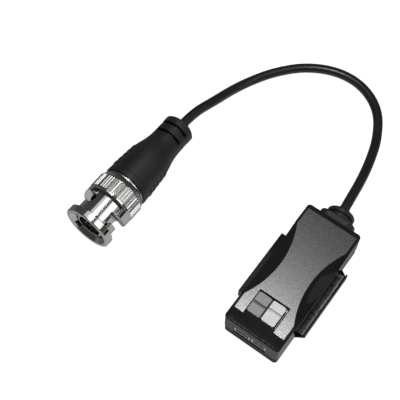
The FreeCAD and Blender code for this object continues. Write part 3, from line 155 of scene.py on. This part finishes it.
def new_material(name):
    material = bpy.data.materials.new(name)
    material.use_nodes = True
    tree = material.node_tree
    tree.nodes.clear()
    output = tree.nodes.new("ShaderNodeOutputMaterial")
    shader = tree.nodes.new("ShaderNodeBsdfPrincipled")
    tree.links.new(shader.outputs["BSDF"], output.inputs["Surface"])
    return material, tree, shader


def coordinates(tree):
    source = tree.nodes.new("ShaderNodeTexCoord")
    return source.outputs["Object"]


def noise(tree, vector, scale, detail, roughness=0.55):
    node = tree.nodes.new("ShaderNodeTexNoise")
    node.inputs["Scale"].default_value = scale
    node.inputs["Detail"].default_value = detail
    node.inputs["Roughness"].default_value = roughness
    tree.links.new(vector, node.inputs["Vector"])
    return node.outputs["Fac"]


def spread(tree, value, low, high, from_low=0.3, from_high=0.7):
    node = tree.nodes.new("ShaderNodeMapRange")
    node.inputs["From Min"].default_value = from_low
    node.inputs["From Max"].default_value = from_high
    node.inputs["To Min"].default_value = low
    node.inputs["To Max"].default_value = high
    tree.links.new(value, node.inputs["Value"])
    return node.outputs["Result"]


def mix_colours(tree, value, dark, light):
    node = tree.nodes.new("ShaderNodeMix")
    node.data_type = "RGBA"
    node.inputs["A"].default_value = (*dark, 1)
    node.inputs["B"].default_value = (*light, 1)
    tree.links.new(value, node.inputs["Factor"])
    return node.outputs["Result"]


def arithmetic(tree, operation, first, second):
    # The second value is a number or another node's output.
    node = tree.nodes.new("ShaderNodeMath")
    node.operation = operation
    tree.links.new(first, node.inputs[0])
    if isinstance(second, float):
        node.inputs[1].default_value = second
    else:
        tree.links.new(second, node.inputs[1])
    return node.outputs["Value"]


def within(tree, axis, low, high):
    # 1 where the piece's own coordinate lies between two values in millimetres, else 0.
    split = tree.nodes.new("ShaderNodeSeparateXYZ")
    tree.links.new(coordinates(tree), split.inputs["Vector"])
    above = arithmetic(tree, "GREATER_THAN", split.outputs[axis], low * MM)
    below = arithmetic(tree, "LESS_THAN", split.outputs[axis], high * MM)
    return arithmetic(tree, "MULTIPLY", above, below)


def bump(tree, shader, height, distance):
    node = tree.nodes.new("ShaderNodeBump")
    node.inputs["Strength"].default_value = 1.0
    node.inputs["Distance"].default_value = distance
    tree.links.new(height, node.inputs["Height"])
    tree.links.new(node.outputs["Normal"], shader.inputs["Normal"])
    return node


def round_edges(tree, bump_node, radius):
    bevel = tree.nodes.new("ShaderNodeBevel")
    bevel.samples = 6
    bevel.inputs["Radius"].default_value = radius * MM
    tree.links.new(bevel.outputs["Normal"], bump_node.inputs["Normal"])


def surface(name, dark, light, rough, grain, depth, metal=0.0, patch=180.0, specular=0.5,
            edge=0.0):
    # One recipe for moulded and metal parts: slow colour drift, varied gloss, fine grain.
    material, tree, shader = new_material(name)
    vector = coordinates(tree)
    drift = noise(tree, vector, patch, 3.0)
    fine = noise(tree, vector, grain, 5.0)
    tree.links.new(mix_colours(tree, spread(tree, drift, 0, 1), dark, light),
                   shader.inputs["Base Color"])
    tree.links.new(spread(tree, fine, rough * 0.85, rough * 1.18), shader.inputs["Roughness"])
    shader.inputs["Metallic"].default_value = metal
    shader.inputs["Specular IOR Level"].default_value = specular
    relief = bump(tree, shader, fine, depth)
    if edge:
        round_edges(tree, relief, edge)
    return material


def cover_look():
    # The lower cover: black like the shell, with a coarse spark-eroded channel floor whose
    # light grey mottling is painted sheen, the light caught by its rough texture.
    material = LOOKS["housing_black"].copy()
    material.name = "cover_black_painted_sheen"
    tree = material.node_tree
    shader = next(n for n in tree.nodes if n.type == "BSDF_PRINCIPLED")
    shader.inputs["Specular IOR Level"].default_value = COVER_SPECULAR
    # Painted sheen: on the channel floor the black is replaced by a mottled light grey.
    painted_sheen_mask = arithmetic(tree, "MULTIPLY", within(tree, "X", *CHANNEL_FLOOR_X),
                            within(tree, "Z", *CHANNEL_FLOOR_Z))
    painted_sheen_mask = arithmetic(tree, "MULTIPLY", painted_sheen_mask, within(tree, "Y", *CHANNEL_FLOOR_Y))
    grit = noise(tree, coordinates(tree), SPECKLE_SCALE, 6.0, 0.75)
    mottled_sheen = mix_colours(tree, spread(tree, grit, 0, 1, 0.38, 0.66), grey(0.15), grey(0.80))
    node = tree.nodes.new("ShaderNodeMix")
    node.data_type = "RGBA"
    plain = shader.inputs["Base Color"].links[0].from_socket
    tree.links.new(painted_sheen_mask, node.inputs["Factor"])
    tree.links.new(plain, node.inputs["A"])
    tree.links.new(mottled_sheen, node.inputs["B"])
    tree.links.new(node.outputs["Result"], shader.inputs["Base Color"])
    return material


LOOKS = {name: surface(name, **recipe) for name, recipe in RECIPES.items()}

for part in frame["record"]["subparts"]:
    node = NODES[part["node"]]
    node.data.materials.clear()
    node.data.materials.append(LOOKS[part["material_slot"]])
    for polygon in node.data.polygons:
        polygon.material_index = 0
NODES["lower_cover"].data.materials[0] = cover_look()


# The springs, as copies attached to the housing.

def flexing(name, axis):
    # A copy of the spring's mesh, attached to the housing, takes the place of the hidden part.
    axis = Vector(axis)
    spring = bpy.data.objects.new(name + "_flexing", NODES[name].data.copy())
    bpy.context.scene.collection.objects.link(spring)
    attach(spring, "housing")
    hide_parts(name)
    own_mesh(spring)
    return spring


flexing("clamp_spring_left", UPWARD)
flexing("clamp_spring_right", UPWARD)
wave_washers = flexing("spring_washers", PLUG_AXIS)


# The cable.

def route_curve(name, points, radius):
    data = bpy.data.curves.new(name, "CURVE")
    data.dimensions = "3D"
    data.resolution_u = 16
    data.bevel_depth = radius * MM
    data.bevel_resolution = 6
    data.use_fill_caps = True
    spline = data.splines.new("NURBS")
    spline.points.add(len(points) - 1)
    for target, point in zip(spline.points, points):
        target.co = (*[v * MM for v in point], 1)
    spline.order_u = 3
    spline.use_endpoint_u = True
    piece = bpy.data.objects.new(name, data)
    bpy.context.scene.collection.objects.link(piece)
    return piece


cable = route_curve("cable_jacket", CABLE_POINTS, CABLE_RADIUS)
cable.data.materials.append(LOOKS["cable_black"])
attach(cable, "housing")
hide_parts("coax_cable")


# Floor, camera and lights.

def aim(thing, position, target):
    direction = Vector(target) - Vector(position)
    thing.location = position
    thing.rotation_euler = direction.to_track_quat("-Z", "Y").to_euler()


def softbox(name, position, aim_at, size, power):
    data = bpy.data.lights.new(name, "AREA")
    data.shape = "RECTANGLE"
    data.size, data.size_y = size
    data.energy = power
    light = bpy.data.objects.new(name, data)
    bpy.context.scene.collection.objects.link(light)
    aim(light, position, aim_at)


floor_data = bpy.data.meshes.new("floor")
half = FLOOR_SIZE / 2
floor_corners = [(x, y, FLOOR_HEIGHT)
                 for x, y in ((-half, -half), (half, -half), (half, half), (-half, half))]
floor_data.from_pydata(floor_corners, [], [(0, 1, 2, 3)])
floor = bpy.data.objects.new("floor", floor_data)
bpy.context.scene.collection.objects.link(floor)
floor_material, floor_tree, floor_shader = new_material("floor_paper")
paper = noise(floor_tree, coordinates(floor_tree), 40.0, 2.0)
floor_tree.links.new(mix_colours(floor_tree, paper, grey(0.12), grey(0.13)),
                     floor_shader.inputs["Base Color"])
floor_shader.inputs["Roughness"].default_value = FLOOR_ROUGHNESS
floor_shader.inputs["Emission Color"].default_value = (1, 1, 1, 1)
floor_shader.inputs["Emission Strength"].default_value = FLOOR_GLOW
floor_data.materials.append(floor_material)
floor.visible_glossy = False

camera_data = bpy.data.cameras.new("camera")
camera_data.lens = CAMERA_FOCAL
camera_data.sensor_width = SENSOR
camera_data.clip_start = CAMERA_NEAR
camera_data.clip_end = CAMERA_FAR
camera = bpy.data.objects.new("camera", camera_data)
bpy.context.scene.collection.objects.link(camera)
azimuth = math.radians(CAMERA_AZIMUTH)
elevation = math.radians(CAMERA_ELEVATION)
back = Vector((math.sin(azimuth) * math.cos(elevation),
               -math.cos(azimuth) * math.cos(elevation),
               math.sin(elevation)))
camera_target = Vector(CAMERA_TARGET) * MM
aim(camera, camera_target + back * CAMERA_DISTANCE * MM, camera_target)
bpy.context.scene.camera = camera

for light in LIGHTS:
    softbox(*light)

# The room is paler towards the right and darkens above the horizon.
world = bpy.data.worlds.new("studio")
world.use_nodes = True
surround = world.node_tree
sky = surround.nodes.new("ShaderNodeTexCoord")
sky_axes = surround.nodes.new("ShaderNodeSeparateXYZ")
surround.links.new(sky.outputs["Generated"], sky_axes.inputs["Vector"])
across = arithmetic(surround, "SUBTRACT", sky_axes.outputs["X"], sky_axes.outputs["Y"])
around = spread(surround, across, SURROUND_LEFT, SURROUND_RIGHT, *SURROUND_ACROSS)
upper = spread(surround, sky_axes.outputs["Z"], 0, 1, *SURROUND_HORIZON)
shade = surround.nodes.new("ShaderNodeMix")
shade.data_type = "FLOAT"
shade.inputs["B"].default_value = SURROUND_ABOVE
surround.links.new(upper, shade.inputs["Factor"])
surround.links.new(around, shade.inputs["A"])
surround.links.new(shade.outputs["Result"], surround.nodes["Background"].inputs["Color"])
bpy.context.scene.world = world
bpy.context.scene.view_settings.view_transform = "Standard"
